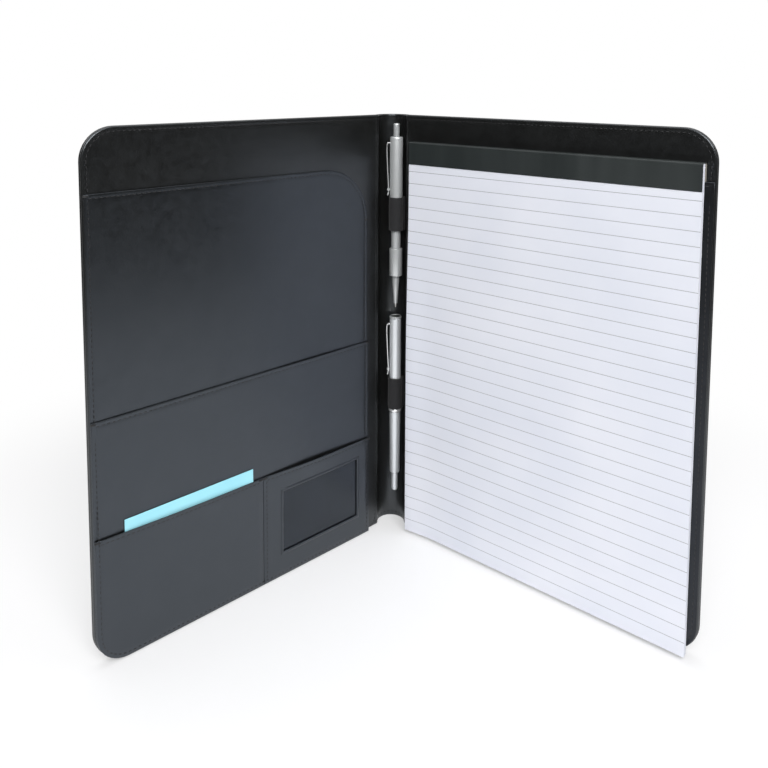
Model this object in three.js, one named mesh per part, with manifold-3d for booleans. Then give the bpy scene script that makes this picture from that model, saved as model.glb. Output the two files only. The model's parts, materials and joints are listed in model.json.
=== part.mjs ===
// An A4 compendium: a folder with board covers that stands open on its lower edges. It has document
// pockets, a card pocket and a window pocket on the left, a ruled writing pad tucked behind a panel
// on the right, and a click pen and a capped pen in elastic loops in the rounded spine.
// Millimetres, +Z up. X runs across the opened covers and +Y points away from the reader.
import * as THREE from 'three';
import { mergeVertices } from 'three/addons/utils/BufferGeometryUtils.js';
import Module from 'manifold-3d';

const wasm = await Module();
wasm.setup();

// Clearances
const seat = 0.3; // between pieces that are sewn, glued or laid together
const slack = 0.8; // extra length of a tool that cuts past a face

// Covers: u runs from the hinge axis to the outer edge, t from the lining towards the reader
const coverHeight = 320;
const coverWidth = 224;
const coverCorner = 30;
const foldFromFlat = 41; // degrees that each cover is folded forward from lying flat
const skinThickness = 1.0;
const boardThickness = 2.0;
const liningThickness = 0.8;
const turnedEdge = 0.8; // the skin where it is turned round the edge of the board
const coverThickness = skinThickness + boardThickness + liningThickness + 2 * seat;
const edgeInset = turnedEdge + seat;

// Spine: a half-round channel with a rolled crease at each side
const channelRadius = 9.9;
const stiffenerThickness = 0.8;
const spineThickness = skinThickness + stiffenerThickness + liningThickness + 2 * seat;
const spineRadius = channelRadius + spineThickness;
const hingeX = channelRadius + spineThickness / 2;
const creaseRadius = coverThickness / 2;
const coverStart = creaseRadius + seat;

// Pockets of the left cover, each sewn round its sides and bottom
const seamWidth = 1.6;
const pocketStart = 11.8; // spine-side edge of the pockets
const documentDrop = 37.3; // top of the cover down to the pocket's top
const documentTop = coverHeight - documentDrop;
const documentCorner = 40; // rounded upper corner beside the spine
const documentSheet = 0.5;
const middleTop = 150.5;
const lowerTop = 75.8; // beside the spine
const lowerTopOuter = 79.8; // at the outer edge, where the pocket rises
const pocketSheet = 0.4;
const pocketDepth = 0.4;
const dividerAt = 107.9; // seam between the window pocket and the card pocket
const windowCentre = 58.6;
const windowWidth = 66.8;
const windowBottom = 18.4;
const windowHeight = 43.8;
const windowLap = 4; // film behind the edge of its opening
const filmThickness = 0.2;
const beadWidth = 2;
const beadHeight = 0.6;

// Card, in the bay beside the divider
const cardFromDivider = 7.8;
const cardFromEdge = 18.7; // the card's outer edge to the edge of the cover
const cardHeight = 80.5;
const cardThickness = 0.4;

// Writing pad on the right cover, 210 by 297
const padStart = 8.5;
const padFromEdge = 5.5; // the pad's outer edge to the edge of the cover
const padDrop = 20; // top of the cover down to the pad's head
const padPanelStart = 4;
const padPanelDrop = 10; // the pad's head down to the panel's top
const padPanelSheet = 0.6;
const backingThickness = 1.0;
const stackThickness = 3.8;
const stripThickness = 0.3;
const stripHeight = 15.8;
const pageThickness = 0.2;

// Elastic loops
const loopWall = 0.7;
const loopPlay = 0.3; // round the thickest part of a pen
const loopFootAngle = 18; // degrees that the sewn foot spreads to each side
const loopDirection = 36; // degrees from +X, where the loops are sewn to the channel
const upperLoopBottom = 231.9;
const upperLoopHeight = 25.5;
const lowerLoopBottom = 92.7;
const lowerLoopHeight = 24;

// Click pen: heights from its point
const penRadius = 4.9;
const clickPenPoint = 171.8; // height of the point above the folder's foot
const pointLength = 3.2; // point that shows below the nose
const pointRadius = 0.9;
const pointTipRadius = 0.3;
const pointTaper = 2.2; // height over which the tip widens
const noseLength = 21.6;
const noseTipRadius = 1.5;
const noseRadius = 2.85;
const noseSpigot = 6;
const noseSpigotRadius = 2.5;
const refillRadius = 1.3;
const collarLength = 21;
const neckLength = 18;
const neckRadius = 3.6;
const neckWall = 1.1;
const neckSpigot = 11;
const neckTenon = 9; // the neck's thicker end inside the barrel
const clickBarrelLength = 67;
const barrelWall = 0.6;
const barrelCap = 1.6; // end wall of the barrel round the button
const buttonRadius = 2.4;
const buttonShows = 10.2;
const buttonStem = 16; // below the barrel's top, down to the refill
const buttonStemRadius = 1.9;
const buttonFlange = 1; // disc that keeps the button in the barrel
const buttonTravel = 4;
const refillCollar = 1; // disc on the refill that the spring pushes
const springWire = 0.25;
const springLength = 22;
const springTurns = 8;

// Clips, in the plane through a pen's axis
const clipThickness = 0.8;
const clipWidth = 3;
const clipStandoff = 1.9;
const clipFromTop = 3.4; // top of the barrel down to the top of the clip
const clipRoot = 2.2; // height of the part that enters the barrel
const clickClipLength = 41.5;
const capClipLength = 41.5;

// Capped pen: heights from its tail
const cappedPenTail = 26.1;
const tailLength = 14;
const tailRadius = 2.4;
const tailGrooves = 5;
const tailGrooveDepth = 0.25;
const tailSpigot = 5;
const cappedBarrelLength = 49;
const cappedBarrelRadius = 4.2;
const cappedBarrelTailRadius = 3.9;
const gripLength = 34;
const gripRadius = 3.3;
const gripTenon = 8;
const cappedPointLength = 11;
const cappedPointCollar = 2; // straight part at the foot of the cone
const nibHolderRadius = 1.2;
const nibLength = 2;
const nibRadius = 0.5;
const nibTipRadius = 0.4;
const inkRadius = 1.6;
const inkLength = 62;
const capRadius = 4.4;
const capWall = 0.6;
const capLength = 71;
const capRingRadius = 4.95;
const capRingHeight = 2.4;
const capDiscRadius = 4.6;
const capDiscHeight = 1.3;

const roundSteps = 20;
const cornerSteps = 8;

const finishes = {
  skin: { color: 0x1b1c1e, roughness: 0.45 },
  lining: { color: 0x202224, roughness: 0.42 },
  board: { color: 0x8b8274, roughness: 0.9 },
  elastic: { color: 0x2b2d2f, roughness: 0.95 },
  film: { color: 0x2a2d31, roughness: 0.15 },
  card: { color: 0x8ccfdd, roughness: 0.7 },
  paper: { color: 0xe4e7ee, roughness: 0.9 },
  greyboard: { color: 0x9a9488, roughness: 0.95 },
  strip: { color: 0x343a3b, roughness: 0.5 },
  satin: { color: 0xb4b6b6, roughness: 0.35, metalness: 1 },
  chrome: { color: 0xd6d8da, roughness: 0.12, metalness: 1 },
  plastic: { color: 0x17181a, roughness: 0.4 },
  brass: { color: 0xb49a5c, roughness: 0.3, metalness: 1 },
};

// Solids and meshes

function solid(geometry) {
  const bare = geometry.clone();
  bare.deleteAttribute('normal');
  bare.deleteAttribute('uv');
  const merged = mergeVertices(bare, 1e-4);
  return new wasm.Manifold(new wasm.Mesh({
    numProp: 3,
    vertProperties: merged.attributes.position.array,
    triVerts: new Uint32Array(merged.index.array),
  }));
}

function surfaceOf(body) {
  const { vertProperties, triVerts } = body.getMesh();
  const indexed = new THREE.BufferGeometry();
  indexed.setAttribute('position', new THREE.BufferAttribute(new Float32Array(vertProperties), 3));
  indexed.setIndex(new THREE.BufferAttribute(new Uint32Array(triVerts), 1));
  const flat = indexed.toNonIndexed();
  flat.computeVertexNormals();
  return flat;
}

function piece(name, shape, finish) {
  const geometry = shape.isBufferGeometry ? shape : surfaceOf(shape);
  const mesh = new THREE.Mesh(geometry, new THREE.MeshStandardMaterial(finishes[finish]));
  mesh.name = name;
  return mesh;
}

// A shape in plan, raised from the height bottom.
function upright(shape, bottom, height) {
  const geometry = new THREE.ExtrudeGeometry(shape, {
    depth: height, bevelEnabled: false, curveSegments: cornerSteps,
  });
  return geometry.translate(0, 0, bottom);
}

// A shape of u and z on a cover, thickened from t = back towards the reader.
function sheet(shape, back, thickness) {
  const geometry = new THREE.ExtrudeGeometry(shape, {
    depth: thickness, bevelEnabled: false, curveSegments: cornerSteps,
  });
  return geometry.rotateX(Math.PI / 2).translate(0, -(coverThickness / 2 + back), 0);
}

// A closed profile of [radius, height] pairs, outside upwards, turned round the Z axis.
function turned(profile) {
  const points = profile.map(([radius, height]) => new THREE.Vector2(radius, height));
  return new THREE.LatheGeometry(points, roundSteps).rotateX(Math.PI / 2);
}

function rod(radius, bottom, top) {
  return turned([[0, bottom], [radius, bottom], [radius, top], [0, top]]);
}

function rectangle(left, right, bottom, top) {
  const shape = new THREE.Shape();
  shape.moveTo(left, bottom);
  shape.lineTo(right, bottom);
  shape.lineTo(right, top);
  shape.lineTo(left, top);
  shape.closePath();
  return shape;
}

function cylinderAt(x, y, radius, bottom, height) {
  const outline = new THREE.Shape();
  outline.absarc(x, y, radius, 0, 2 * Math.PI, false);
  return upright(outline, bottom, height);
}

// Part of a ring in plan, between two angles in radians.
function arcBand(inner, outer, from, to) {
  const shape = new THREE.Shape();
  shape.absarc(0, 0, outer, from, to, false);
  shape.absarc(0, 0, inner, to, from, true);
  shape.closePath();
  return shape;
}

// Covers

// A cover's outline set in from its edge: square beside the spine, rounded at the outer corners.
function coverOutline(inset, start) {
  const radius = coverCorner - inset;
  const outer = coverWidth - inset;
  const top = coverHeight - inset;
  const shape = new THREE.Shape();
  shape.moveTo(start, inset);
  shape.lineTo(outer - radius, inset);
  shape.absarc(outer - radius, inset + radius, radius, -Math.PI / 2, 0, false);
  shape.absarc(outer - radius, top - radius, radius, 0, Math.PI / 2, false);
  shape.lineTo(start, top);
  shape.closePath();
  return shape;
}

// The skin lies behind the board and is turned round its edges, up to the face of the lining.
function coverSkin() {
  const slab = solid(sheet(coverOutline(0, coverStart), -coverThickness, coverThickness));
  const hollow = sheet(coverOutline(turnedEdge, coverStart - slack),
    skinThickness - coverThickness, coverThickness);
  return slab.subtract(solid(hollow));
}

function coverPieces(side) {
  const boardBack = -(liningThickness + seat + boardThickness);
  const inner = coverOutline(edgeInset, coverStart);
  return [
    piece(`${side}_cover_skin`, coverSkin(), 'skin'),
    piece(`${side}_cover_board`, sheet(inner, boardBack, boardThickness), 'board'),
    piece(`${side}_lining`, sheet(inner, -liningThickness, liningThickness), 'lining'),
  ];
}

// Pockets

// What part of a panel with the cover's rounded corners lies inside a plain outline.
function withinCover(outline, inset, start, back, thickness) {
  const panel = solid(sheet(coverOutline(inset, start), back, thickness));
  return panel.intersect(solid(sheet(outline, back - slack, thickness + 2 * slack)));
}

// A sheet with a seam along its sides and bottom that reaches back to t = back. Each bay is the
// hollow between two seams, open at the top.
function pocket(outline, start, back, depth, thickness, bays) {
  let body = withinCover(outline, edgeInset, start, back, depth + thickness);
  for (const [from, to] of bays) {
    const bay = rectangle(from, to, edgeInset, coverHeight);
    body = body.subtract(withinCover(bay, edgeInset + seamWidth, start, back - slack, depth + slack));
  }
  return body;
}

// A pocket's outline: its top beside the spine, at the outer edge, and its rounded upper corner.
function pocketOutline(start, top, outerTop = top, corner = 0) {
  const shape = new THREE.Shape();
  shape.moveTo(start, 0);
  shape.lineTo(coverWidth, 0);
  shape.lineTo(coverWidth, outerTop);
  if (corner === 0) shape.lineTo(start, top);
  else shape.absarc(start + corner, top - corner, corner, Math.PI / 2, Math.PI, false);
  shape.closePath();
  return shape;
}

const bayStart = pocketStart + seamWidth;
const documentBack = seat;
const middleBack = documentBack + pocketDepth + documentSheet + seat;
const lowerBack = middleBack + pocketDepth + pocketSheet + seat;
const lowerDepth = cardThickness + seat;
const lowerFront = lowerBack + lowerDepth + pocketSheet;
const windowLeft = windowCentre - windowWidth / 2;
const windowRight = windowCentre + windowWidth / 2;
const windowTop = windowBottom + windowHeight;

function lowerPocket() {
  const bays = [
    [bayStart, dividerAt - seamWidth / 2],
    [dividerAt + seamWidth / 2, coverWidth],
  ];
  const outline = pocketOutline(pocketStart, lowerTop, lowerTopOuter);
  const body = pocket(outline, pocketStart, lowerBack, lowerDepth, pocketSheet, bays);
  const opening = rectangle(windowLeft, windowRight, windowBottom, windowTop);
  return body.subtract(solid(sheet(opening, lowerBack, lowerFront)));
}

function windowFilm() {
  const back = lowerBack + lowerDepth - seat - filmThickness;
  const outline = rectangle(windowLeft - windowLap, windowRight + windowLap,
    windowBottom - windowLap, windowTop + windowLap);
  return sheet(outline, back, filmThickness);
}

function windowBead() {
  const outer = rectangle(windowLeft - beadWidth, windowRight + beadWidth,
    windowBottom - beadWidth, windowTop + beadWidth);
  const hole = rectangle(windowLeft, windowRight, windowBottom, windowTop);
  const frame = solid(sheet(outer, lowerFront + seat, beadHeight));
  return frame.subtract(solid(sheet(hole, lowerFront, beadHeight + 2 * seat)));
}

function leftPocketPieces() {
  const document = pocketOutline(pocketStart, documentTop, documentTop, documentCorner);
  const middle = pocketOutline(pocketStart, middleTop);
  const fullBay = [[bayStart, coverWidth]];
  return [
    piece('document_pocket',
      pocket(document, pocketStart, documentBack, pocketDepth, documentSheet, fullBay), 'lining'),
    piece('middle_pocket',
      pocket(middle, pocketStart, middleBack, pocketDepth, pocketSheet, fullBay), 'lining'),
    piece('lower_pocket', lowerPocket(), 'lining'),
    piece('window_film', windowFilm(), 'film'),
    piece('window_frame', windowBead(), 'skin'),
  ];
}

// The card stands on the seam, at the height that the seam has where the card meets the corner.
const cardStart = dividerAt + cardFromDivider;
const cardEnd = coverWidth - cardFromEdge;
const pastCorner = Math.max(0, cardEnd - (coverWidth - coverCorner));
const seamCorner = coverCorner - edgeInset - seamWidth;
const cardBottom = coverCorner - Math.sqrt(seamCorner ** 2 - pastCorner ** 2) + seat;

function card() {
  const outline = rectangle(cardStart, cardEnd, cardBottom, cardBottom + cardHeight);
  return piece('card', sheet(outline, lowerBack, cardThickness), 'card');
}

// Writing pad. From the lining forwards: the strip's back leg, the backing, the panel that holds
// the backing, the stack of sheets, then the strip's front leg with the top page below it.

const padEnd = coverWidth - padFromEdge;
const padBottom = edgeInset + seamWidth + seat;
const padTop = coverHeight - padDrop;
const padPanelTop = padTop - padPanelDrop;
const stripBottom = padTop - stripHeight;
const backingBack = stripThickness + 2 * seat;
const panelDepth = backingBack + backingThickness;
const stackBack = seat + panelDepth + padPanelSheet + seat;
const stackFront = stackBack + stackThickness;

function padPanel() {
  const outline = pocketOutline(padPanelStart, padPanelTop);
  const bay = [[padPanelStart + seamWidth, coverWidth]];
  return piece('pad_panel',
    pocket(outline, padPanelStart, seat, panelDepth, padPanelSheet, bay), 'lining');
}

// The strip folds over the top of the pad, from behind the backing to the front of the sheets.
function bindingStrip() {
  const back = seat;
  const front = stackFront + seat + stripThickness;
  const outer = rectangle(padStart, padEnd, stripBottom, padTop + seat + stripThickness);
  const inside = rectangle(padStart - slack, padEnd + slack, stripBottom - slack, padTop + seat);
  const body = solid(sheet(outer, back, front - back));
  const hollow = sheet(inside, back + stripThickness, front - back - 2 * stripThickness);
  return piece('pad_binding_strip', body.subtract(solid(hollow)), 'strip');
}

// The backing's lower outer corner is rounded, to fit the rounded seam of its panel.
function padBacking(full) {
  const fit = edgeInset + seamWidth + seat;
  return withinCover(full, fit, coverStart, backingBack, backingThickness);
}

function notepadPieces() {
  const full = rectangle(padStart, padEnd, padBottom, padTop);
  const page = rectangle(padStart, padEnd, padBottom, stripBottom - seat);
  return [
    piece('pad_backing', padBacking(full), 'greyboard'),
    piece('pad_sheets', sheet(full, stackBack, stackThickness), 'paper'),
    bindingStrip(),
    piece('top_page', sheet(page, stackFront + seat, pageThickness), 'paper'),
  ];
}

// Spine

// One layer of the spine wall, which stops short of the rolled creases.
function spineLayer(inner, thickness) {
  const clear = Math.asin((creaseRadius + seat) / inner);
  const band = arcBand(inner, inner + thickness, clear, Math.PI - clear);
  return upright(band, edgeInset, coverHeight - 2 * edgeInset);
}

// The skin runs round the back, is turned over the ends and is rolled at both creases.
function spineSkin() {
  const wall = arcBand(channelRadius, spineRadius, 0, Math.PI);
  const inside = arcBand(channelRadius - slack, spineRadius - skinThickness, 0, Math.PI);
  return solid(upright(wall, 0, coverHeight))
    .subtract(solid(upright(inside, turnedEdge, coverHeight - 2 * turnedEdge)))
    .add(solid(cylinderAt(-hingeX, 0, creaseRadius, 0, coverHeight)))
    .add(solid(cylinderAt(hingeX, 0, creaseRadius, 0, coverHeight)));
}

const loopBore = penRadius + loopPlay;
const loopRadius = loopBore + loopWall;
const loopAngle = THREE.MathUtils.degToRad(loopDirection);
const penOffset = channelRadius - seat - loopRadius;
const penAxisX = penOffset * Math.cos(loopAngle);
const penAxisY = penOffset * Math.sin(loopAngle);

// An elastic band round a pen, with its foot sewn flat to the lining behind it.
function elasticLoop(name, bottom, height) {
  const spread = THREE.MathUtils.degToRad(loopFootAngle);
  const footRadius = channelRadius - seat;
  const foot = arcBand(footRadius - loopWall, footRadius, loopAngle - spread, loopAngle + spread);
  const band = solid(cylinderAt(penAxisX, penAxisY, loopRadius, bottom, height));
  const bore = solid(cylinderAt(penAxisX, penAxisY, loopBore, bottom - slack, height + 2 * slack));
  return piece(name, band.add(solid(upright(foot, bottom, height))).subtract(bore), 'elastic');
}

function spinePieces() {
  const stiffenerRadius = channelRadius + liningThickness + seat;
  return [
    piece('spine_skin', spineSkin(), 'skin'),
    piece('spine_stiffener', spineLayer(stiffenerRadius, stiffenerThickness), 'board'),
    piece('spine_lining', spineLayer(channelRadius, liningThickness), 'lining'),
    elasticLoop('upper_pen_loop', upperLoopBottom, upperLoopHeight),
    elasticLoop('lower_pen_loop', lowerLoopBottom, lowerLoopHeight),
  ];
}

// Clip: a root in the barrel's slot, a shoulder, a straight arm and a rounded end that bears on
// the barrel. It lies on the pen's -X side, with its top at the given height.
function clip(name, barrelRadius, wall, top, length) {
  const rootEnd = -(barrelRadius - wall / 2);
  const armInner = -(barrelRadius + clipStandoff);
  const armOuter = armInner - clipThickness;
  const end = top - length;
  const bulb = (clipStandoff + clipThickness - seat) / 2;
  const shoulder = clipThickness * 1.5;
  const side = new THREE.Shape();
  side.moveTo(rootEnd, top - clipRoot);
  side.lineTo(rootEnd, top);
  side.lineTo(armOuter + shoulder, top);
  side.absarc(armOuter + shoulder, top - shoulder, shoulder, Math.PI / 2, Math.PI, false);
  side.lineTo(armOuter, end + bulb);
  side.absarc(armOuter + bulb, end + bulb, bulb, Math.PI, 2 * Math.PI, false);
  side.lineTo(armInner, end + 3 * bulb);
  side.lineTo(armInner, top - clipRoot);
  side.closePath();
  const shape = upright(side, -clipWidth / 2, clipWidth).rotateX(Math.PI / 2);
  return piece(name, shape, 'chrome');
}

// The slot that a clip's root enters, cut through a barrel's wall.
function clipSlot(barrelRadius, wall, top) {
  const across = 2 * wall + 2 * slack;
  const slot = new THREE.BoxGeometry(across, clipWidth + 2 * seat, clipRoot + 2 * seat);
  return solid(slot.translate(-barrelRadius, 0, top - clipRoot / 2));
}

// Click pen, standing on its point at the origin of its own group

const noseBottom = pointLength;
const noseTop = noseBottom + noseLength;
const noseStep = noseBottom + noseLength / 2; // where the nose's bore narrows to the point
const collarBottom = noseTop + seat;
const collarTop = collarBottom + collarLength;
const neckBottom = collarTop + seat;
const neckTop = neckBottom + neckLength;
const neckBore = neckRadius - neckWall;
const clickBarrelTop = neckTop + clickBarrelLength;
const clickClipTop = clickBarrelTop - clipFromTop;
const springBottom = noseTop + noseSpigot + seat;
const springTop = springBottom + springLength;
const refillTop = clickBarrelTop - buttonStem - seat;

function clickNose() {
  const bore = refillRadius + seat;
  const tipBore = pointRadius + seat;
  return turned([
    [tipBore, noseBottom], [noseTipRadius, noseBottom], [noseRadius, noseTop],
    [noseSpigotRadius, noseTop], [noseSpigotRadius, noseTop + noseSpigot],
    [bore, noseTop + noseSpigot], [bore, noseStep], [tipBore, noseStep], [tipBore, noseBottom],
  ]);
}

function clickCollar() {
  const upperBore = neckRadius - neckWall / 2 + seat;
  const lowerBore = noseSpigotRadius + seat;
  const step = collarTop - neckSpigot;
  const edge = 0.5;
  return turned([
    [lowerBore, collarBottom], [penRadius - edge, collarBottom], [penRadius, collarBottom + edge],
    [penRadius, collarTop - edge], [penRadius - edge, collarTop], [upperBore, collarTop],
    [upperBore, step], [lowerBore, step], [lowerBore, collarBottom],
  ]);
}

function clickNeck() {
  const spigotRadius = neckRadius - neckWall / 2;
  const spigotBottom = collarTop - neckSpigot + seat;
  const tenonRadius = penRadius - barrelWall - seat;
  return turned([
    [neckBore, spigotBottom], [spigotRadius, spigotBottom], [spigotRadius, neckBottom],
    [neckRadius, neckBottom], [neckRadius, neckTop - seat], [tenonRadius, neckTop + seat],
    [tenonRadius, neckTop + neckTenon], [neckBore, neckTop + neckTenon], [neckBore, spigotBottom],
  ]);
}

function clickBarrel() {
  const bore = penRadius - barrelWall;
  const hole = buttonRadius + seat;
  const edge = 0.5;
  const shell = turned([
    [bore, neckTop], [penRadius, neckTop], [penRadius, clickBarrelTop - edge],
    [penRadius - edge, clickBarrelTop], [hole, clickBarrelTop], [hole, clickBarrelTop - barrelCap],
    [bore, clickBarrelTop - barrelCap], [bore, neckTop],
  ]);
  return solid(shell).subtract(clipSlot(penRadius, barrelWall, clickClipTop));
}

function clickButton() {
  const top = clickBarrelTop + buttonShows;
  const dome = 0.8;
  const foot = clickBarrelTop - buttonStem;
  const flangeRadius = penRadius - barrelWall - seat;
  const flangeTop = clickBarrelTop - barrelCap - seat;
  const flangeFoot = flangeTop - buttonFlange;
  return turned([
    [0, foot], [buttonStemRadius, foot], [buttonStemRadius, flangeFoot],
    [flangeRadius, flangeFoot], [flangeRadius, flangeTop], [buttonRadius, flangeTop],
    [buttonRadius, top - dome], [buttonRadius - dome, top], [0, top],
  ]);
}

function clickRefill() {
  const shoulder = noseStep + buttonTravel + 2 * seat;
  const widening = refillRadius - pointRadius;
  const collarRadius = neckBore - seat;
  const collarFoot = springTop + seat;
  return turned([
    [0, 0], [pointTipRadius, 0], [pointRadius, pointTaper], [pointRadius, shoulder],
    [refillRadius, shoulder + widening], [refillRadius, collarFoot], [collarRadius, collarFoot],
    [collarRadius, collarFoot + refillCollar], [refillRadius, collarFoot + refillCollar],
    [refillRadius, refillTop], [0, refillTop],
  ]);
}

// A compression spring round the refill.
function clickSpring() {
  class Helix extends THREE.Curve {
    getPoint(fraction) {
      const angle = fraction * springTurns * 2 * Math.PI;
      const radius = neckBore - seat - springWire;
      const height = springBottom + springWire + fraction * (springLength - 2 * springWire);
      return new THREE.Vector3(radius * Math.cos(angle), radius * Math.sin(angle), height);
    }
  }
  const wire = new THREE.Shape();
  wire.absarc(0, 0, springWire, 0, 2 * Math.PI, false);
  return new THREE.ExtrudeGeometry(wire, {
    extrudePath: new Helix(), steps: springTurns * 8, curveSegments: 5, bevelEnabled: false,
  });
}

function clickPenPieces() {
  return [
    piece('click_pen_nose', clickNose(), 'satin'),
    piece('click_pen_collar', clickCollar(), 'satin'),
    piece('click_pen_neck', clickNeck(), 'satin'),
    piece('click_pen_barrel', clickBarrel(), 'satin'),
    piece('click_pen_button', clickButton(), 'chrome'),
    piece('click_pen_refill', clickRefill(), 'brass'),
    piece('click_pen_spring', clickSpring(), 'chrome'),
    clip('click_pen_clip', penRadius, barrelWall, clickClipTop, clickClipLength),
  ];
}

// Capped pen, standing on its tail at the origin of its own group

const cappedBarrelBottom = tailLength + seat;
const cappedBarrelTop = cappedBarrelBottom + cappedBarrelLength;
const cappedBore = cappedBarrelTailRadius - 2 * barrelWall;
const capRingBottom = cappedBarrelTop + seat;
const capBottom = capRingBottom + capRingHeight + seat;
const capTop = capBottom + capLength;
const capBore = capRadius - capWall;
const gripTop = cappedBarrelTop + gripLength;
const inkBottom = tailLength + tailSpigot + seat;

// The tail plug has fine grooves round it and a spigot that fits the barrel.
function cappedTail() {
  const edge = 0.4;
  const pitch = tailLength / (tailGrooves + 2);
  const profile = [[0, 0], [tailRadius - edge, 0], [tailRadius, edge]];
  for (let i = 1; i <= tailGrooves; i += 1) {
    const middle = (i + 0.5) * pitch;
    profile.push([tailRadius, middle - edge], [tailRadius - tailGrooveDepth, middle],
      [tailRadius, middle + edge]);
  }
  const spigot = cappedBore - seat;
  profile.push([tailRadius, tailLength], [spigot, tailLength + seat],
    [spigot, tailLength + tailSpigot], [0, tailLength + tailSpigot]);
  return turned(profile);
}

function cappedBarrel() {
  const edge = 0.4;
  return turned([
    [cappedBore, cappedBarrelBottom], [cappedBarrelTailRadius - edge, cappedBarrelBottom],
    [cappedBarrelTailRadius, cappedBarrelBottom + edge], [cappedBarrelRadius, cappedBarrelTop],
    [cappedBore, cappedBarrelTop], [cappedBore, cappedBarrelBottom],
  ]);
}

function cappedGrip() {
  const tenon = cappedBore - seat;
  const bore = inkRadius + seat;
  const foot = cappedBarrelTop - gripTenon;
  const taper = 0.3;
  return turned([
    [bore, foot], [tenon, foot], [tenon, cappedBarrelTop + seat],
    [gripRadius, cappedBarrelTop + seat + 0.5], [gripRadius - taper, gripTop], [bore, gripTop],
    [bore, foot],
  ]);
}

function cappedPoint() {
  const base = gripTop + seat;
  const tip = base + cappedPointLength;
  return turned([
    [0, base], [gripRadius - seat, base], [gripRadius - seat, base + cappedPointCollar],
    [nibHolderRadius, tip - nibLength], [nibRadius, tip - nibLength], [nibTipRadius, tip],
    [0, tip],
  ]);
}

function cap() {
  const edge = 0.3;
  const endWall = 1.2;
  const shell = turned([
    [capBore, capBottom], [capRadius, capBottom], [capRadius, capTop - edge],
    [capRadius - edge, capTop], [0, capTop], [0, capTop - endWall], [capBore, capTop - endWall],
    [capBore, capBottom],
  ]);
  return solid(shell).subtract(clipSlot(capRadius, capWall, capTop - clipFromTop));
}

function capDisc() {
  const bottom = capTop + seat;
  const edge = 0.35;
  return turned([
    [0, bottom], [capDiscRadius, bottom], [capDiscRadius, bottom + capDiscHeight - edge],
    [capDiscRadius - edge, bottom + capDiscHeight], [0, bottom + capDiscHeight],
  ]);
}

function capRing() {
  const top = capRingBottom + capRingHeight;
  const edge = 0.4;
  return turned([
    [capBore, capRingBottom], [capRingRadius - edge, capRingBottom],
    [capRingRadius, capRingBottom + edge], [capRingRadius, top - edge],
    [capRingRadius - edge, top], [capBore, top], [capBore, capRingBottom],
  ]);
}

function cappedPenPieces() {
  return [
    piece('capped_pen_tail', cappedTail(), 'satin'),
    piece('capped_pen_barrel', cappedBarrel(), 'satin'),
    piece('capped_pen_grip', cappedGrip(), 'plastic'),
    piece('capped_pen_point', cappedPoint(), 'brass'),
    piece('capped_pen_refill', rod(inkRadius, inkBottom, inkBottom + inkLength), 'plastic'),
    piece('pen_cap', cap(), 'satin'),
    piece('pen_cap_disc', capDisc(), 'satin'),
    piece('pen_cap_ring', capRing(), 'chrome'),
    clip('pen_cap_clip', capRadius, capWall, capTop - clipFromTop, capClipLength),
  ];
}

// Assembly

function groupOf(meshes, x, y, z) {
  const group = new THREE.Group();
  group.add(...meshes);
  group.position.set(x, y, z);
  return group;
}

const fold = THREE.MathUtils.degToRad(foldFromFlat);

const rightCover = groupOf([...coverPieces('right'), padPanel(), ...notepadPieces()], hingeX, 0, 0);
rightCover.rotation.z = -fold;

const leftCover = groupOf([...coverPieces('left'), ...leftPocketPieces(), card()], -hingeX, 0, 0);
leftCover.rotation.z = fold;
leftCover.scale.x = -1;

const compendium = new THREE.Group();
compendium.name = 'compendium';
compendium.add(
  groupOf(spinePieces(), 0, 0, 0),
  groupOf(clickPenPieces(), penAxisX, penAxisY, clickPenPoint),
  groupOf(cappedPenPieces(), penAxisX, penAxisY, cappedPenTail),
  leftCover,
  rightCover,
);

// The origin is the middle of the footprint, on the surface that the folder stands on.
compendium.updateMatrixWorld(true);
const bounds = new THREE.Box3().setFromObject(compendium, true);
const middle = bounds.getCenter(new THREE.Vector3());
compendium.position.set(-middle.x, -middle.y, -bounds.min.z);

export default compendium;
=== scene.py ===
import bisect
import json
import math
import random

import bmesh
import bpy
from mathutils import Matrix, Vector


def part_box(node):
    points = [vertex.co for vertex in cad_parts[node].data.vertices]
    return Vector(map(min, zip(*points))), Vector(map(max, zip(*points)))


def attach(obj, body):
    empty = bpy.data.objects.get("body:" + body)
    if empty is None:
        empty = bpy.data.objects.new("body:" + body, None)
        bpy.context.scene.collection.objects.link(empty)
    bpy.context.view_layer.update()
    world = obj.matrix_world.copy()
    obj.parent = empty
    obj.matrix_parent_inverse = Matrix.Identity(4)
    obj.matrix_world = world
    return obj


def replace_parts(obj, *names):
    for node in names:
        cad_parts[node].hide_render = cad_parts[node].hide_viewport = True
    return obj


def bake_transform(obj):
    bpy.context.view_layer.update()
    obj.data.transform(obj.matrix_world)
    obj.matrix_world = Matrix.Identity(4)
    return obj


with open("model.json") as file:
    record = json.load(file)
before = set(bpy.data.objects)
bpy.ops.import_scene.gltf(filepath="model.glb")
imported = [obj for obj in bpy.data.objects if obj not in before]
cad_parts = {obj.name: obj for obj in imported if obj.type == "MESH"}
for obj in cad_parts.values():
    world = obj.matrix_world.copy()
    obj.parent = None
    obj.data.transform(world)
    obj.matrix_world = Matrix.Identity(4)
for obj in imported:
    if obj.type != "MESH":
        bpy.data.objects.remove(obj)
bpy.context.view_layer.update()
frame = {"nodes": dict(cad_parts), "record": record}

METRES = 0.001
TINY = 1e-6
random.seed(7)


def spread(low, high, count):
    """Values from low to high in count even steps."""
    return [low + (high - low) * k / count for k in range(count + 1)]


def arc(low, high, count):
    """Angles in radians from low to high degrees in count even steps."""
    return [math.radians(angle) for angle in spread(low, high, count)]


def smooth(value, low, high):
    """0 up to low, 1 from high on, with a soft start and end."""
    share = min(1, max(0, (value - low) / (high - low)))
    return share * share * (3 - 2 * share)


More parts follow.
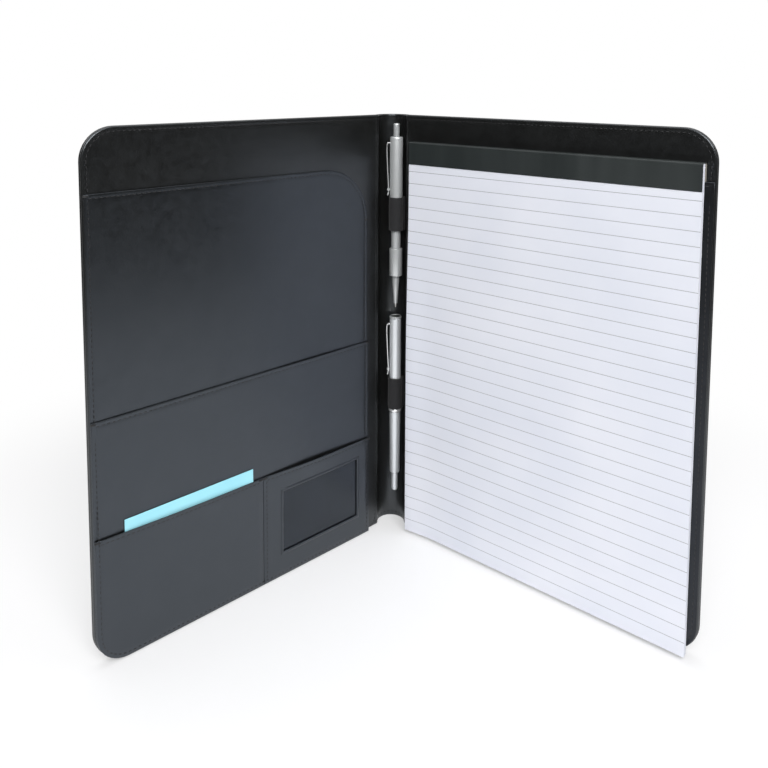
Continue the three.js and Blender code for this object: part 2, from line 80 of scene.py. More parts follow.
# Places and sizes that come from the frame
joints = {joint["name"]: joint for joint in frame["record"]["behaviour"]["joints"]}
fold_joint = joints["right_cover_fold"]
fold = math.radians(-fold_joint["range_deg"][0])
hinge_x, hinge_y = (value / METRES for value in fold_joint["pos_m"][:2])
LEFT, RIGHT = -1, 1
sides = {"left": LEFT, "right": RIGHT}

# Cover directions: u runs from the hinge axis to the outer edge, t from the lining to the reader
along = Vector((math.cos(fold), -math.sin(fold)))
front = Vector((-math.sin(fold), -math.cos(fold)))


def in_cover(point):
    """(u, distance in front of the hinge plane, z) of a point, on whichever cover it belongs to."""
    flat = Vector((abs(point.x) - hinge_x, point.y - hinge_y))
    return flat.dot(along), flat.dot(front), point.z


def cover_points(node):
    item = frame["nodes"][node]
    return [in_cover(item.matrix_world @ corner.co / METRES) for corner in item.data.vertices]


def cover_box(node):
    """Lowest and highest (u, t, z) of a node on a cover."""
    low, high = ([pick(values) for values in zip(*cover_points(node))] for pick in (min, max))
    low[1] -= half_cover
    high[1] -= half_cover
    return low, high


half_cover = max(distance for _, distance, _ in cover_points("right_cover_skin"))
cover_width, _, cover_height = cover_box("right_cover_skin")[1]
cover_corner = 20
spine_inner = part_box("spine_lining")[1].x / METRES
spine_outer = (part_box("spine_skin")[1] / METRES).y - hinge_y

document_low, document_high = cover_box("document_pocket")
middle_high = cover_box("middle_pocket")[1]
lower_high = cover_box("lower_pocket")[1]
frame_low, frame_high = cover_box("window_frame")
card_low, card_high = cover_box("card")
panel_low, panel_high = cover_box("pad_panel")
stack_low, stack_high = cover_box("pad_sheets")
strip_low, strip_high = cover_box("pad_binding_strip")
page_low, page_high = cover_box("top_page")

# Sewing
border = 6  # width of the worked border of every panel
stitch_inset = 3
stitch_reach = border - stitch_inset
stitch_pitch = 3.2
stitch_length = 2.3
stitch_wander = 0.08
thread_radius = 0.24
groove = 0.12  # how deep a row of stitches draws the leatherette in
groove_reach = 1.2
groove_floor = 0.5


def place_on(side, u, t, z):
    """A point on the LEFT or RIGHT cover, in metres."""
    flat = along * u + front * (half_cover + t)
    return Vector((side * (hinge_x + flat.x), hinge_y + flat.y, z)) * METRES


def on_cover(side, height):
    """place() for a sheet on a cover, whose front lies at the given height function."""
    return lambda u, z, depth: place_on(side, u, height(u, z) - depth, z)


def settle(item, body, slot, *nodes):
    """item rides on a body and stands for the given frame nodes. slot is not used."""
    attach(item, body)
    if nodes:
        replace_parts(item, *nodes)


# Meshes

def finish_mesh(name, bm, material, sharp=40):
    """A smooth-shaded object from bm, with edges past the angle sharp kept crisp."""
    bmesh.ops.recalc_face_normals(bm, faces=bm.faces)
    for face in bm.faces:
        face.smooth = True
    for edge in bm.edges:
        if edge.calc_face_angle(0) > math.radians(sharp):
            edge.smooth = False
    mesh = bpy.data.meshes.new(name)
    bm.to_mesh(mesh)
    bm.free()
    item = bpy.data.objects.new(name, mesh)
    bpy.context.collection.objects.link(item)
    item.data.materials.append(material)
    return item


def vertex(bm, x, y, z):
    """A vertex at a place in millimetres."""
    return bm.verts.new(Vector((x, y, z)) * METRES)


def bridge(bm, first, second, closed):
    """Quads between two rows of vertices."""
    count = len(first)
    for k in range(count if closed else count - 1):
        n = (k + 1) % count
        bm.faces.new((first[k], first[n], second[n], second[k]))


def loft(bm, rings, caps=False):
    """A tube through rings of vertices, with a face over each end if caps."""
    for first, second in zip(rings, rings[1:]):
        bridge(bm, first, second, True)
    if caps:
        bm.faces.new(rings[0])
        bm.faces.new(rings[-1])


def running_lengths(points, unit=1):
    """Length along a polyline up to each of its points."""
    lengths = [0]
    for a, b in zip(points, points[1:]):
        lengths.append(lengths[-1] + (b - a).length / unit)
    return lengths


def softened(points, reach, steps):
    """A polyline with each inner corner rounded over a length of reach."""
    points = [Vector(point) for point in points]
    result = [points[0]]
    for before, corner, after in zip(points, points[1:], points[2:]):
        a = corner + (before - corner).normalized() * min(reach, (before - corner).length / 2)
        b = corner + (after - corner).normalized() * min(reach, (after - corner).length / 2)
        for share in spread(0, 1, steps):
            result.append(a.lerp(corner, share).lerp(corner.lerp(b, share), share))
    return result + [points[-1]]


def loop_normals(loop, closed):
    """Outward mitred normals of a loop of (s, z) points that runs anticlockwise."""
    def edge_normal(a, b):
        return Vector((b[1] - a[1], a[0] - b[0])).normalized()

    count = len(loop)
    normals = []
    for k in range(count):
        before = edge_normal(loop[k - 1], loop[k]) if closed or k > 0 else None
        after = edge_normal(loop[k], loop[(k + 1) % count]) if closed or k < count - 1 else None
        before = before or after
        after = after or before
        normals.append((before + after) / (1 + before.dot(after)))
    return normals


def border_loop(grid, closed):
    """Indices round a grid of columns, anticlockwise from the foot of its first column."""
    last, top = len(grid) - 1, len(grid[0]) - 1
    loop = [(i, 0) for i in range(last + 1)]
    loop += [(last, j) for j in range(1, top + 1)]
    loop += [(i, top) for i in range(last - 1, -1, -1)]
    if closed:
        loop += [(0, j) for j in range(top - 1, 0, -1)]
    return loop


def outset_points(grid, closed, outset):
    """The points of a grid's border loop moved outwards."""
    loop = [grid[i][j] for i, j in border_loop(grid, closed)]
    normals = loop_normals(loop, closed)
    return [(s + normal.x * outset, z + normal.y * outset) for (s, z), normal in zip(loop, normals)]


def build_panel(name, grid, place, profile, material, closed=True, hole=None):
    """A sheet with worked borders. grid holds columns of (s, z) points, profile the (outset, depth)
    steps from the front over the edge to the back, and hole a range of columns and rows to leave open.
    A panel that isn't closed starts at the middle of the spine."""
    bm = bmesh.new()
    depth = profile[-1][1]
    faces = [[[bm.verts.new(place(s, z, at)) for s, z in column] for column in grid]
             for at in (0, depth)]
    loop = border_loop(grid, closed)
    rings = [[faces[0][i][j] for i, j in loop]]
    for outset, at in profile[:-1]:
        rings.append([bm.verts.new(place(s, z, at)) for s, z in outset_points(grid, closed, outset)])
    rings.append([faces[1][i][j] for i, j in loop])
    for first, second in zip(rings, rings[1:]):
        bridge(bm, first, second, closed)
    for i in range(len(grid) - 1):
        for j in range(len(grid[0]) - 1):
            if hole and hole[0] <= i < hole[1] and hole[2] <= j < hole[3]:
                continue
            for side in faces:
                bm.faces.new((side[i][j], side[i + 1][j], side[i + 1][j + 1], side[i][j + 1]))
    if hole:
        i0, i1, j0, j1 = hole
        edge = [(i, j0) for i in range(i0, i1)] + [(i1, j) for j in range(j0, j1)]
        edge += [(i, j1) for i in range(i1, i0, -1)] + [(i0, j) for j in range(j1, j0, -1)]
        bridge(bm, *[[side[i][j] for i, j in edge] for side in faces], True)
    if not closed:
        bridge(bm, faces[0][0], faces[1][0], False)
        for end in (0, -1):
            bm.faces.new([ring[end] for ring in rings])
    return finish_mesh(name, bm, material)


def build_leaf(name, columns, rows, place, edge, thickness, material):
    """A thin leaf with square edges, through the given columns and rows."""
    grid = [[(u, z) for z in rows] for u in columns]
    return build_panel(name, grid, place, [(edge, 0), (edge, thickness), (0, thickness)], material)


def hem_profile(edge, roll, thickness, hem):
    """The border of a sewn panel: the groove of its stitches, a rolled edge as deep as the hem,
    and the back of the sheet."""
    profile = [(stitch_reach - groove_reach, 0), (stitch_reach - groove_floor, groove / 2),
               (stitch_reach, groove), (stitch_reach + groove_floor, groove / 2),
               (stitch_reach + groove_reach, 0), (edge - roll, 0)]
    for turn in arc(0, 180, 8)[1:-1]:
        profile.append((edge - roll + roll * math.sin(turn), hem / 2 * (1 - math.cos(turn))))
    if hem > thickness:
        step = 0.1
        profile += [(edge - roll, hem), (edge - roll - step, thickness)]
    return profile + [(0, thickness)]


def stitch(bm, points, normals):
    """One stitch: a thread that comes up out of the sheet, lies along it and goes down again."""
    facets = 5
    blunt = 0.12  # square of the share of its radius that an end keeps
    raised_share = 0.55  # share of its radius that its centre stands above the sheet
    rings = []
    last = len(points) - 1
    for k, (point, normal) in enumerate(zip(points, normals)):
        ahead = points[min(k + 1, last)] - points[max(k - 1, 0)]
        across = normal.cross(ahead).normalized()
        middle = k / last * 2 - 1
        radius = thread_radius * METRES * math.sqrt(max(blunt, 1 - middle ** 4))
        centre = point + normal * (radius * raised_share - thread_radius * METRES * middle ** 4)
        rings.append([bm.verts.new(centre + radius * (across * math.cos(turn) + normal * math.sin(turn)))
                      for turn in arc(0, 360, facets)[:-1]])
    loft(bm, rings, caps=True)


def stitch_row(name, lines, material):
    """Rows of stitches as one piece. A line is a list of (point, surface normal) in metres."""
    bm = bmesh.new()
    for line in lines:
        lengths = running_lengths([point for point, _ in line], METRES)

        def at(distance):
            k = min(max(bisect.bisect(lengths, distance) - 1, 0), len(line) - 2)
            share = (distance - lengths[k]) / max(lengths[k + 1] - lengths[k], TINY)
            point = line[k][0].lerp(line[k + 1][0], share)
            return point, line[k][1].lerp(line[k + 1][1], share).normalized()

        count = max(1, round(lengths[-1] / stitch_pitch))
        pitch = lengths[-1] / count
        for n in range(count):
            start = n * pitch + (pitch - stitch_length) / 2
            start += random.uniform(-stitch_wander, stitch_wander)
            samples = [at(distance) for distance in spread(start, start + stitch_length, 4)]
            stitch(bm, *zip(*samples))
    return finish_mesh(name, bm, material)


def row_line(points, place, sink=groove):
    """A line for stitch_row along (s, z) points of a panel, at the bottom of its groove."""
    return [(place(s, z, sink), (place(s, z, 0) - place(s, z, 1)).normalized()) for s, z in points]


def lathe(name, centre, profile, material, segments=56):
    """A profile of (radius, z), turned round the upright axis through centre."""
    bm = bmesh.new()
    closed = (Vector(profile[0]) - Vector(profile[-1])).length < TINY
    rings = []
    for radius, z in profile[:-1] if closed else profile:
        if radius < TINY:
            rings.append([vertex(bm, *centre, z)] * segments)
            continue
        rings.append([vertex(bm, centre[0] + radius * math.cos(turn),
                             centre[1] + radius * math.sin(turn), z)
                      for turn in arc(0, 360, segments)[:-1]])
    if closed:
        rings.append(rings[0])
    for first, second in zip(rings, rings[1:]):
        for k in range(segments):
            n = (k + 1) % segments
            corners = tuple(dict.fromkeys((first[k], first[n], second[n], second[k])))
            if len(corners) > 2:
                bm.faces.new(corners)
    return finish_mesh(name, bm, material, sharp=32)


# Materials

def fill(tree, node, inputs):
    """Sets a node's inputs, by name or number, to values or to the outputs of other nodes."""
    for key, value in inputs.items():
        if isinstance(value, bpy.types.NodeSocket):
            tree.links.new(value, node.inputs[key])
        else:
            node.inputs[key].default_value = value


def add(tree, kind, inputs, **settings):
    """A new shader node."""
    node = tree.nodes.new(f"ShaderNode{kind}")
    for key, value in settings.items():
        setattr(node, key, value)
    fill(tree, node, inputs)
    return node


def maths(tree, operation, first, second=0):
    return add(tree, "Math", {0: first, 1: second}, operation=operation).outputs["Value"]


def noise(tree, scale, detail, stretch=None):
    """Noise over the object's own coordinates. Scale is in features per metre."""
    where = add(tree, "TexCoord", {}).outputs["Object"]
    if stretch:
        where = add(tree, "Mapping", {"Vector": where, "Scale": stretch}).outputs["Vector"]
    return add(tree, "TexNoise", {"Vector": where, "Scale": scale, "Detail": detail}).outputs["Fac"]


def pebbles(tree):
    """Height of the fine pebbled grain of leatherette."""
    where = add(tree, "TexCoord", {}).outputs["Object"]
    cells = add(tree, "TexVoronoi", {"Vector": where, "Scale": 1500}, feature="SMOOTH_F1")
    return cells.outputs["Distance"]


def ramp(tree, source, low, high):
    """Colours or greys from low to high over the middle of a noise's range."""
    node = add(tree, "ValToRGB", {"Fac": source})
    for element, position, value in zip(node.color_ramp.elements, (0.3, 0.7), (low, high)):
        element.position = position
        element.color = (*value, 1) if isinstance(value, tuple) else (value, value, value, 1)
    return node.outputs["Color"]


def new_material(name):
    material = bpy.data.materials.new(name)
    material.use_nodes = True
    return material, material.node_tree, material.node_tree.nodes["Principled BSDF"]


def finish(name, dark, light, patches, relief, rough, **sockets):
    """A material whose colour lies between dark and light by the noise patches. relief holds bump
    layers of (noise, distance in mm, strength), and rough is one value or (noise, low, high).
    A noise is given as (scale, detail), or as (scale, detail, stretch)."""
    material, tree, shader = new_material(name)
    normal = None
    for height, distance, strength in relief:
        height = height(tree) if callable(height) else noise(tree, *height)
        inputs = {"Height": height, "Distance": distance * METRES, "Strength": strength}
        if normal:
            inputs["Normal"] = normal
        normal = add(tree, "Bump", inputs).outputs["Normal"]
    if isinstance(rough, tuple):
        rough = ramp(tree, noise(tree, *rough[0]), *rough[1:])
    colour = ramp(tree, noise(tree, *patches), dark, light)
    fill(tree, shader, {"Base Color": colour, "Roughness": rough, "Normal": normal})
    fill(tree, shader, {key.replace("_", " "): value for key, value in sockets.items()})
    return material


def shade(colour, share):
    """A colour made darker or lighter."""
    return tuple(min(1, part * share) for part in colour)


def leather(name, dark, light, rough, gloss_tint):
    """Smooth leatherette with a fine pebbled grain and a slightly wavy surface."""
    waves = ((22, 2), 0.5, 0.14)
    creases = ((420, 3), 0.08, 0.3)
    grain = (pebbles, 0.05, 0.35)
    return finish(name, dark, light, (60, 4), [waves, creases, grain],
                  ((220, 5), rough - 0.04, rough + 0.05),
                  Specular_IOR_Level=1, Specular_Tint=(*gloss_tint, 1))


def thread(name, colour):
    return finish(name, shade(colour, 0.6), colour, (2600, 2), [((3200, 1), 0.08, 0.5)], 0.6)


def elastic(name):
    """Woven elastic, with its weave drawn out along the band."""
    weave = (1, 2, (1800, 1800, 5200))
    return finish(name, (0.008, 0.008, 0.009), (0.018, 0.018, 0.020), weave,
                  [(weave, 0.12, 0.6)], 0.85, Sheen_Weight=0.12)


def paper(name, dark, light, fibre=0.3, rough=0.9):
    return finish(name, dark, light, (35, 4), [((1400, 4), 0.04, fibre)], rough,
                  Specular_IOR_Level=0.3)


def ruled_paper(name, first_line, pitch, lines, width):
    """Writing paper with grey rules across the sheet, by the height on the sheet."""
    waves = ((9, 2), 1.2, 0.25)
    fibres = ((1400, 4), 0.03, 0.3)
    material = finish(name, (0.76, 0.785, 0.865), (0.83, 0.845, 0.91), (14, 3), [waves, fibres],
                      0.85, Specular_IOR_Level=0.25)
    tree = material.node_tree
    shader = tree.nodes["Principled BSDF"]
    where = add(tree, "TexCoord", {}).outputs["Object"]
    height = add(tree, "SeparateXYZ", {"Vector": where}).outputs["Z"]
    number = maths(tree, "DIVIDE", maths(tree, "SUBTRACT", first_line * METRES, height), pitch * METRES)
    offset = maths(tree, "ABSOLUTE", maths(tree, "SUBTRACT", number, maths(tree, "ROUND", number)))
    on_line = maths(tree, "LESS_THAN", offset, width / 2 / pitch)
    started = maths(tree, "GREATER_THAN", number, -0.5)
    ended = maths(tree, "LESS_THAN", number, lines - 0.5)
    inked = maths(tree, "MULTIPLY", maths(tree, "MULTIPLY", on_line, started), ended)
    sheet = shader.inputs["Base Color"].links[0].from_socket
    mix = add(tree, "Mix", {0: inked, 6: sheet, 7: (0.34, 0.35, 0.38, 1)}, data_type="RGBA")
    fill(tree, shader, {"Base Color": mix.outputs[2]})
    return material


def binding_paper(name):
    """Embossed bookbinding paper, with faint upright streaks."""
    streaks = (1, 2, (55, 55, 6))
    return finish(name, (0.015, 0.020, 0.020), (0.030, 0.036, 0.036), streaks,
                  [((1900, 2), 0.06, 0.5)], 0.5)


def metal(name, colour, rough, brushed, lacquer=0):
    """Metal with fine marks, which run round the pen if it is brushed. lacquer is the share of it
    that looks like a silver lacquer."""
    marks = (1, 3, (300, 300, 5000 if brushed else 400))
    return finish(name, colour, shade(colour, 1.06), marks, [(marks, 0.005, 0.3 if brushed else 0.1)],
                  (marks, rough - 0.03, rough + 0.05), Metallic=1 - lacquer)


def plastic(name, colour, rough):
    return finish(name, shade(colour, 0.8), colour, (300, 3), [((1200, 2), 0.02, 0.3)], rough)


def film(name):
    """Soft glossy film with the dark lining close behind it, a little wavy."""
    return finish(name, (0.008, 0.009, 0.011), (0.012, 0.014, 0.018), (40, 3),
                  [((14, 1), 0.3, 0.12)], ((60, 2), 0.2, 0.26), Specular_Tint=(0.75, 0.86, 1, 1))


skin_leather = leather("skin_leather", (0.0075, 0.0075, 0.007), (0.0115, 0.0115, 0.011),
                       rough=0.36, gloss_tint=(0.93, 0.96, 1))
lining_dark = (0.0055, 0.0055, 0.005)
lining_light = (0.009, 0.009, 0.0085)
lining_leather = leather("lining_leather", lining_dark, lining_light, rough=0.32,
                         gloss_tint=(0.76, 0.86, 1))
inside_leather = leather("inside_leather", lining_dark, lining_light, rough=0.32,
                         gloss_tint=(0.80, 0.86, 0.92))
# The pad panel's leather is the lining leather with its gloss dimmed to about half: painted shade on the
# panel beside the pad.
shaded_panel_leather = leather("shaded_panel_leather", lining_dark, lining_light, rough=0.36,
                        gloss_tint=(0.40, 0.44, 0.52))
black_thread = thread("black_thread", (0.03, 0.03, 0.032))
elastic_weave = elastic("elastic_weave")
satin = metal("satin_silver", (0.66, 0.68, 0.685), rough=0.33, brushed=True, lacquer=0.45)
pale_satin = metal("pale_satin_silver", (0.83, 0.86, 0.89), rough=0.32, brushed=True, lacquer=0.48)
chrome = metal("bright_chrome", (0.86, 0.87, 0.88), rough=0.22, brushed=False, lacquer=0.35)
nickel = metal("refill_nickel", (0.62, 0.61, 0.58), rough=0.3, brushed=False)
greyboard = paper("greyboard", (0.29, 0.27, 0.235), (0.33, 0.31, 0.275), fibre=0.6)
sheet_paper = paper("sheet_paper", (0.70, 0.72, 0.78), (0.78, 0.79, 0.85))
card_stock = paper("card_stock", (0.35, 0.76, 0.87), (0.39, 0.81, 0.92), fibre=0.4, rough=0.7)
ruled = ruled_paper("ruled_paper", first_line=278.9, pitch=8.894, lines=31, width=0.36)
dark_plastic = plastic("dark_plastic", (0.012, 0.012, 0.013), rough=0.4)
window_film = film("window_film_clear")
strip_paper = binding_paper("strip_paper")


# Covers and spine

corner_spans = 12
shell_roll = 1.1


def foot_line(start, inset, spans):
    """(u, z) along a cover's foot and round its corner to the outer edge, set in by inset."""
    radius = cover_corner - inset
    straight = cover_width - cover_corner
    line = [(u, inset) for u in spread(start, straight, spans)]
    for turn in arc(0, 90, corner_spans)[1:]:
        line.append((straight + radius * math.sin(turn), inset + radius * (1 - math.cos(turn))))
    return line


class FoldPath:
    """One face of the folder in plan, from the middle of the spine, over the crease and along a
    cover. s is the length along it. Depth is measured into the layers, by the local thickness."""

    def __init__(self, side, radius, face, crease_turn, crease_end, inwards):
        self.side = side
        self.inwards = inwards
        self.crease_end = crease_end
        spans = 24
        steps = 8
        across = Vector((-along.y, along.x))
        points = [Vector((radius * math.cos(turn), radius * math.sin(turn)))
                  for turn in arc(90, crease_turn, spans)]
        start = points[-1]
        end = Vector((hinge_x, 0)) + along * crease_end + front * face
        heading = Vector((start.y, -start.x)).normalized()
        # The corner is where the spine's tangent meets the cover's face.
        corner = start + heading * ((end - start).dot(across) / heading.dot(across))
        for share in spread(0, 1, steps)[1:]:
            points.append(start.lerp(corner, share).lerp(corner.lerp(end, share), share))
        self.points = points
        self.lengths = running_lengths(points)
        spine_scale = (spine_outer - spine_inner) / 2 / half_cover
        self.scales = [min(1, spine_scale + max(0, k - spans) / steps) for k in range(len(points))]
        self.normals = [Vector((0, 1))]
        for before, point, after in zip(points, points[1:], points[2:]):
            heading = ((after - point).normalized() + (point - before).normalized()).normalized()
            self.normals.append(Vector((-heading.y, heading.x)))
        self.normals.append(across)

    def s_of(self, u):
        return self.lengths[-1] + u - self.crease_end

    def place(self, s, z, depth):
        past = s - self.lengths[-1]
        if past >= 0:
            point = self.points[-1] + along * past
            normal, scale = self.normals[-1], 1
        else:
            k = max(bisect.bisect(self.lengths, s) - 1, 0)
            share = (s - self.lengths[k]) / (self.lengths[k + 1] - self.lengths[k])
            point = self.points[k].lerp(self.points[k + 1], share)
            normal = self.normals[k].lerp(self.normals[k + 1], share).normalized()
            scale = self.scales[k] + (self.scales[k + 1] - self.scales[k]) * share
        point = point + normal * depth * scale * self.inwards
        return Vector((self.side * point.x, hinge_y + point.y, z)) * METRES

    def grid(self):
        """Columns over the half spine and the cover, set in by the border."""
        spans = 14
        rows = 10
        line = [(s, border) for s in self.lengths]
        line += [(self.s_of(u), low) for u, low in foot_line(self.crease_end, border, spans)[1:]]
        return [[(s, z) for z in spread(low, cover_height - low, rows)] for s, low in line]


def bend(item):
    """Bakes item's transform into its mesh; item is already built round the crease between the spine and
    a cover.
    """
    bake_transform(item)
    return item


def shells(side_name):
    """The outer skin and the inner lining of one half, each with its rolled edge."""
    side = sides[side_name]
    hem = 2 * half_cover * 0.49  # each sheet wraps just under half of the cover's edge
    outer = FoldPath(side, spine_outer, face=-half_cover, crease_turn=10, crease_end=3.2, inwards=-1)
    inner = FoldPath(side, spine_inner, face=half_cover, crease_turn=0, crease_end=1.2, inwards=1)
    nodes = {"skin": [f"{side_name}_cover_skin"], "inside": [f"{side_name}_lining"]}
    if side_name == "left":
        nodes["skin"].append("spine_skin")
        nodes["inside"].append("spine_lining")
    for path, word, material, slot, thickness in (
            (outer, "skin", skin_leather, "outer_skin", 1.0),
            (inner, "inside", inside_leather, "lining", 0.8)):
        profile = hem_profile(border, shell_roll, thickness, hem)
        item = build_panel(f"{side_name}_{word}", path.grid(), path.place, profile, material,
                           closed=False)
        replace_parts(bend(item), *nodes[word])
    return outer, inner


# Heights of the sewn layers above the lining, by place on a cover

pocket_start = document_low[0]
divider = 107.9
document_corner = 40
lower_rise = 4  # how much higher the lower pocket is at the outer edge
sheet_thickness = 0.75
edge_gap = 0.5  # between a pocket's rim and the rim of the cover
divider_line = 0.06  # half the line between the two sheets of the lower pocket
sheet_roll = 0.4
sheet_rim = hem_profile(border - edge_gap, sheet_roll, sheet_thickness, sheet_thickness)
bead = 2.0
window_left = frame_low[0] + bead
window_right = frame_high[0] - bead
window_bottom = frame_low[2] + bead
window_top = frame_high[2] - bead


def from_edge(u, z):
    """Distance of a place on a cover from its outer edge, with the rounded corners."""
    side_gap = cover_width - u
    end_gap = min(z, cover_height - z)
    if side_gap < cover_corner and end_gap < cover_corner:
        return cover_corner - math.hypot(cover_corner - side_gap, cover_corner - end_gap)
    return min(side_gap, end_gap)


def swell(seam, low, high, start=1, end=12):
    """Height of a sheet that rises from low near its seam to high further in."""
    return low + (high - low) * smooth(seam, start, end)


def gape(u, z, left, right, top, most):
    """How far a pocket's mouth stands open between its two seams."""
    fade = 16
    if not left < u < right or z > top + 1:
        return 0
    return most * math.sin(math.pi * (u - left) / (right - left)) ** 1.5 * math.exp((z - top) / fade)


def straight_pocket(high, low, end, most):
    """Height function of a pocket's sheet, from low at its seams. Its mouth gapes as far as u = end."""
    def height(u, z):
        seam = min(u - pocket_start, from_edge(u, z))
        return swell(seam, low, high[1]) + gape(u, z, pocket_start, end, high[2], most)

    return height


document_height = straight_pocket(document_high, low=1.1, end=cover_width, most=0.5)
middle_height = straight_pocket(middle_high, low=2.1, end=card_low[0], most=0.7)


def lower_top(u):
    """The sloping mouth of the lower pocket."""
    share = (u - pocket_start) / (cover_width - pocket_start)
    return lower_high[2] + 0.02 - lower_rise * (1 - share)


def lower_height(u, z):
    seam = min(abs(u - divider) + 1, u - pocket_start, from_edge(u, z))
    left, right, most = (pocket_start, divider, 1.7) if u < divider else (divider, cover_width, 1.0)
    mouth = gape(u, z, left, right, lower_top(u), most)
    return swell(seam, low=3.3, high=lower_high[1] + 0.05, start=0.8, end=4) + mouth


def pad_panel_height(u, z):
    return swell(min(u - panel_low[0], from_edge(u, z)), low=1.6, high=panel_high[1], end=9)


# Pockets

def cover_columns(start, top_of):
    """Columns (u, lowest z, highest z) of a sheet on a cover, set in from its edges."""
    spans = 26
    return [(u, low, top_of(u) - border) for u, low in foot_line(start + border, border, spans)]


def rows_between(columns, offsets, rows):
    """A grid with rows near the top at the given distances from it and even ones below."""
    grid = []
    for u, low, high in columns:
        heights = spread(low, high - offsets[-1], rows)[:-1]
        heights += [high - offset for offset in reversed(offsets)]
        grid.append([(u, z) for z in heights])
    return grid


def document_grid():
    """The tall pocket: columns round its upper corner, then those along the cover."""
    radius = document_corner - border
    straight = pocket_start + document_corner
    rounded = [(straight - radius * math.cos(turn), border,
                document_high[2] - document_corner + radius * math.sin(turn))
               for turn in arc(0, 90, corner_spans)[:-1]]
    even = cover_columns(pocket_start, lambda u: document_high[2])
    return rows_between(rounded + [column for column in even if column[0] > straight],
                        offsets=[0, 4, 10, 20], rows=16)


def plain_grid(start, top_of):
    return rows_between(cover_columns(start, top_of), offsets=[0, 3, 8, 16, 28], rows=12)


def window_grid():
    """The window pocket, with the window's edges on its lines, and the range of its hole."""
    across = 10
    up = 8
    left, right = pocket_start + border, divider - border + edge_gap - divider_line
    columns = [left, (left + window_left) / 2, *spread(window_left, window_right, across),
               (window_right + right) / 2, right]
    grid = []
    for u in columns:
        top = lower_top(u) - border
        heights = [border, 12, *spread(window_bottom, window_top, up), top - 3, top]
        grid.append([(u, z) for z in heights])
    return grid, (2, 2 + across, 2, 2 + up)


def pocket_sheet(name, grid, height, *nodes, hole=None):
    """One sheet of the pockets. Returns its grid and its place(), for the sewing."""
    place = on_cover(LEFT, height)
    item = build_panel(name, grid, place, sheet_rim, lining_leather, hole=hole)
    settle(item, "left_cover", "lining", *nodes)
    return grid, place


def pockets():
    document = pocket_sheet("document_sheet", document_grid(), document_height, "document_pocket")
    middle = pocket_sheet("middle_sheet", plain_grid(pocket_start, lambda u: middle_high[2]),
                          middle_height, "middle_pocket")
    card_start = divider + divider_line - edge_gap
    card_pocket = pocket_sheet("card_sheet", plain_grid(card_start, lower_top), lower_height,
                               "lower_pocket")
    grid, hole = window_grid()
    window = pocket_sheet("window_sheet", grid, lower_height, hole=hole)
    return document, middle, card_pocket, window


def window_border():
    """The raised border of the window: a half-round bead with mitred corners."""
    spans = 10
    lift = 0.55
    place = on_cover(LEFT, lower_height)
    corners = [(window_left, window_bottom), (window_right, window_bottom),
               (window_right, window_top), (window_left, window_top)]
    loop = []
    for (u0, z0), (u1, z1) in zip(corners, corners[1:] + corners[:1]):
        loop += list(zip(spread(u0, u1, spans), spread(z0, z1, spans)))[:-1]
    profile = [(bead / 2 * (1 - math.cos(turn)), -lift * math.sin(turn)) for turn in arc(0, 180, 8)]
    profile += [(bead, 0.3), (0, 1.0)]
    bm = bmesh.new()
    rings = [[bm.verts.new(place(u + normal.x * outset, z + normal.y * outset, depth))
              for (u, z), normal in zip(loop, loop_normals(loop, True))] for outset, depth in profile]
    loft(bm, rings + rings[:1])
    settle(finish_mesh("window_border", bm, lining_leather, sharp=60), "left_cover", "outer_skin",
           "window_frame")


def card():
    """The loose card, a thin sheet with square corners."""
    edge = 0.5
    thickness = 0.25
    columns = spread(card_low[0] + edge, card_high[0] - edge, 12)
    rows = spread(card_low[2] + edge, card_high[2] - edge, 10)
    place = on_cover(LEFT, lambda u, z: card_high[1])
    item = build_leaf("card_leaf", columns, rows, place, edge, thickness, card_stock)
    settle(item, "card", "card", "card")


# Pad

def pad_lift(u, z):
    """How far the pad's sheets curl towards the reader beside the spine, below the bound head."""
    curl = 2.2
    curl_width = 26
    free, held = strip_low[2] - 150, strip_low[2] - 12  # heights that the curl grows between
    loose = 1 - smooth(z, free, held)
    return curl * loose * (1 - smooth(u, stack_low[0], stack_low[0] + curl_width)) ** 1.6


def pad_panel():
    grid = rows_between(cover_columns(panel_low[0], lambda u: panel_high[2]),
                        offsets=[0, 4, 12], rows=14)
    place = on_cover(RIGHT, pad_panel_height)
    # The panel's leather has dimmed gloss, as painted shade beside the pad.
    item = build_panel("pad_panel_sheet", grid, place, sheet_rim, shaded_panel_leather)
    settle(item, "right_cover", "lining", "pad_panel")
    return grid, place


def leaf(name, low, high, back, thickness, material, shift=(0, 0)):
    """A leaf or a bundle of leaves of the pad, curled by pad_lift."""
    edge = min(0.2, thickness / 2)
    left, right = low[0] + shift[0] + edge, high[0] + shift[0] - edge
    bottom, top = low[2] + shift[1] + edge, high[2] + shift[1] - edge
    columns = [left + (right - left) * share ** 1.5 for share in spread(0, 1, 30)]
    place = on_cover(RIGHT, lambda u, z: back + thickness + pad_lift(u, z))
    return build_leaf(name, columns, spread(bottom, top, 16), place, edge, thickness, material)


def writing_pad():
    """The stack as slightly shifted bundles of sheets, and the page on top of it."""
    bundles = 12
    full = 0.86  # share of a bundle's height that is paper
    aside, rise = 0.25, 0.2  # the most that a bundle is shifted
    each = (stack_high[1] - stack_low[1]) / bundles
    for k in range(bundles):
        shift = (random.uniform(-aside, 0), random.uniform(0, rise))
        material = ruled if k == bundles - 1 else sheet_paper
        item = leaf(f"pad_leaves_{k + 1}", stack_low, stack_high, stack_low[1] + k * each,
                    each * full, material, shift)
        settle(item, "notepad", "paper", *([] if k else ["pad_sheets"]))
    page_thickness = 0.12
    item = leaf("page_leaf", page_low, page_high, page_low[1], page_thickness, ruled)
    settle(item, "top_page", "paper", "top_page")


